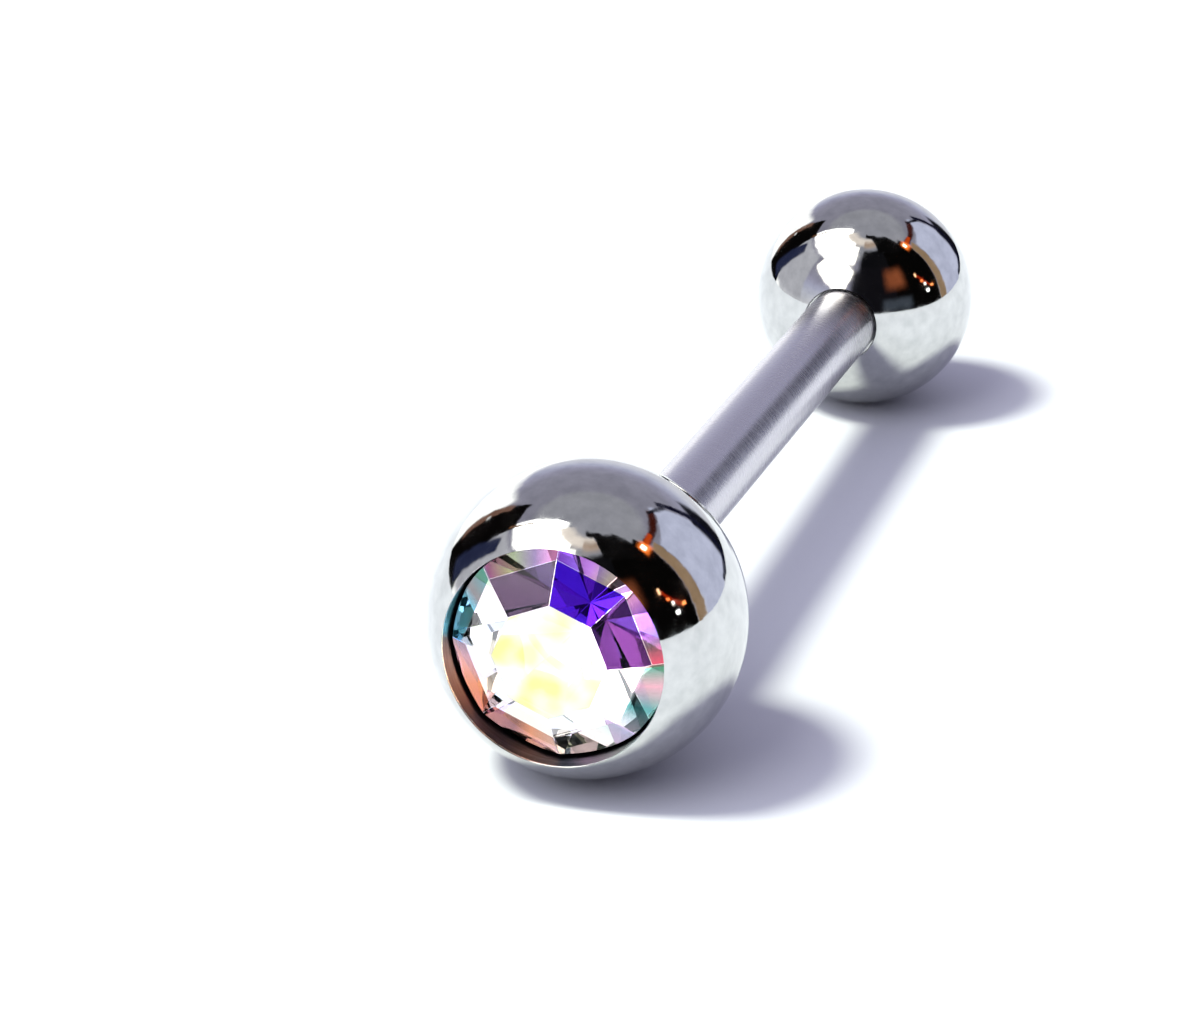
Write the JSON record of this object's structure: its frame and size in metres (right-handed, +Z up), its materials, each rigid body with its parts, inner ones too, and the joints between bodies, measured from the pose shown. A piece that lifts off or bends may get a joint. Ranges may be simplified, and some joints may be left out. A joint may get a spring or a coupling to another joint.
{
  "type": "tongue barbell",
  "caption": "Straight steel tongue barbell with a larger ball holding a round cut iridescent crystal at one end and a smaller plain ball at the other; both balls screw off the shaft.",
  "frame": {"origin": "middle of the whole length, on the surface that the barbell rests on", "axes": "+Y along the barbell from the stone's end to the plain ball, +Z up"},
  "size_m": [0.006, 0.026, 0.006],
  "materials": {
    "shaft_steel": "polished surgical steel",
    "ball_steel": "mirror-polished surgical steel",
    "coated_crystal": "faceted crystal glass with an iridescent coating"
  },
  "bodies": {
    "shaft": {"shaft": "shaft_steel"},
    "gem_ball": {"gem_ball": "ball_steel", "gem_stone": "coated_crystal"},
    "plain_ball": {"plain_ball": "ball_steel"}
  },
  "joints": [
    {"name": "gem_ball_off", "type": "slide", "parent": "shaft", "child": "gem_ball", "axis": [0, -0.9997, 0.0235], "range_m": [0, 0.003]},
    {"name": "plain_ball_off", "type": "slide", "parent": "shaft", "child": "plain_ball", "axis": [0, 0.9997, -0.0235], "range_m": [0, 0.003]}
  ]
}
